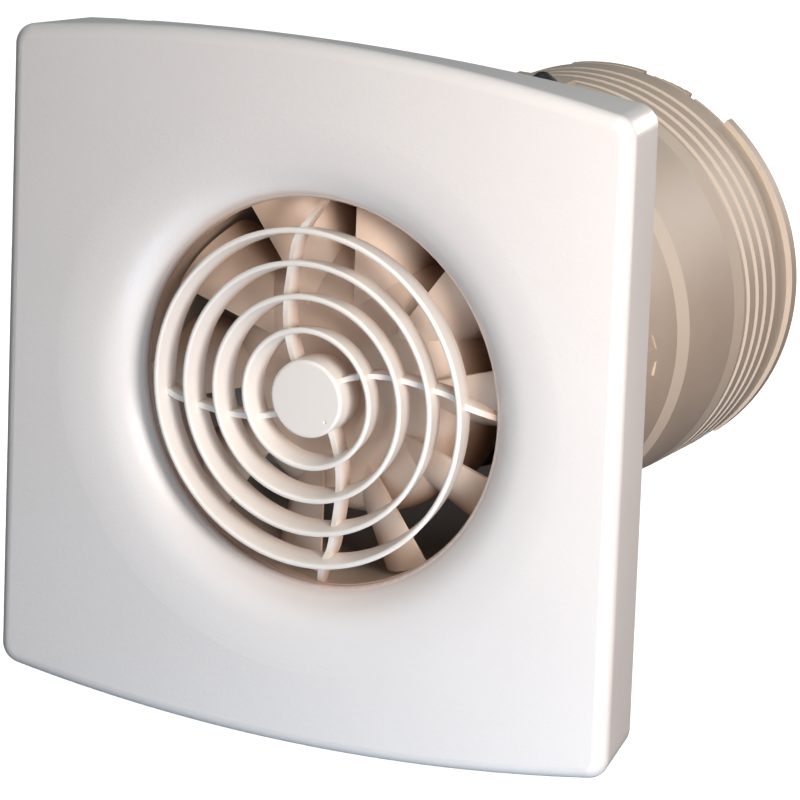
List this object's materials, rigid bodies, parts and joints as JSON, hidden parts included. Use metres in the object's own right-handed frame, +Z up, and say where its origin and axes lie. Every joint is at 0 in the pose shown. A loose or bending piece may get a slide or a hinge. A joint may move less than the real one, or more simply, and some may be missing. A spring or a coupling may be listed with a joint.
{
  "type": "bathroom_extractor_fan",
  "caption": "Axial bathroom extractor fan: square bowed front cover, round ring grille, bladed impeller, motor and ribbed duct spigot.",
  "frame": {"origin": "on the fan axis in the wall plane, where the back edge of the front cover and the back face of the wall plate meet the wall, and at the centre of the four wall screws", "axes": "+Z up, +X to the right seen from the room, the cover faces -Y and the duct spigot runs along +Y"},
  "size_m": [0.1598, 0.1564, 0.1672],
  "materials": {
    "white_plastic": "fine satin moulded",
    "cream_plastic": "satin moulded",
    "black_rubber": "matt",
    "zinc_steel": "zinc plated",
    "bright_steel": "ground",
    "dark_steel": "laminated",
    "copper_enamel": "enamelled wire",
    "cast_aluminium": "die cast",
    "sintered_bronze": "sintered",
    "fibre": "vulcanised fibre",
    "grey_plastic": "moulded",
    "wire_blue": "extruded sleeve"
  },
  "bodies": {
    "housing": {"wall_plate": "cream_plastic", "fan_housing": "cream_plastic", "cable_duct": "cream_plastic", "motor_cradle": "cream_plastic", "spigot_sleeve": "cream_plastic", "cable_grommet": "black_rubber", "motor_front_can": "zinc_steel", "motor_rear_can": "zinc_steel", "stator_core": "dark_steel", "stator_coils": "copper_enamel", "front_bearing": "sintered_bronze", "rear_bearing": "sintered_bronze", "thrust_washers": "fibre", "vibration_mounts": "black_rubber", "motor_screws": "zinc_steel", "terminal_block": "grey_plastic", "terminal_screws": "sintered_bronze", "terminal_cover": "cream_plastic", "terminal_cover_screw": "zinc_steel", "cable_clamp": "cream_plastic", "cable_clamp_screws": "zinc_steel", "motor_leads": "wire_blue"},
    "cover": {"front_cover": "white_plastic", "inlet_grille": "white_plastic"},
    "fan_wheel": {"impeller": "cream_plastic", "impeller_clip": "bright_steel", "motor_shaft": "bright_steel", "rotor_core": "dark_steel", "rotor_cage": "cast_aluminium"}
  },
  "joints": [
    {"name": "cover_pull", "type": "slide", "parent": "housing", "child": "cover", "axis": [0, -1, 0], "range_m": [0, 0.02]},
    {"name": "fan_spin", "type": "hinge", "parent": "housing", "child": "fan_wheel", "pos_m": [0, 0, 0], "axis": [0, -1, 0], "continuous": true}
  ]
}
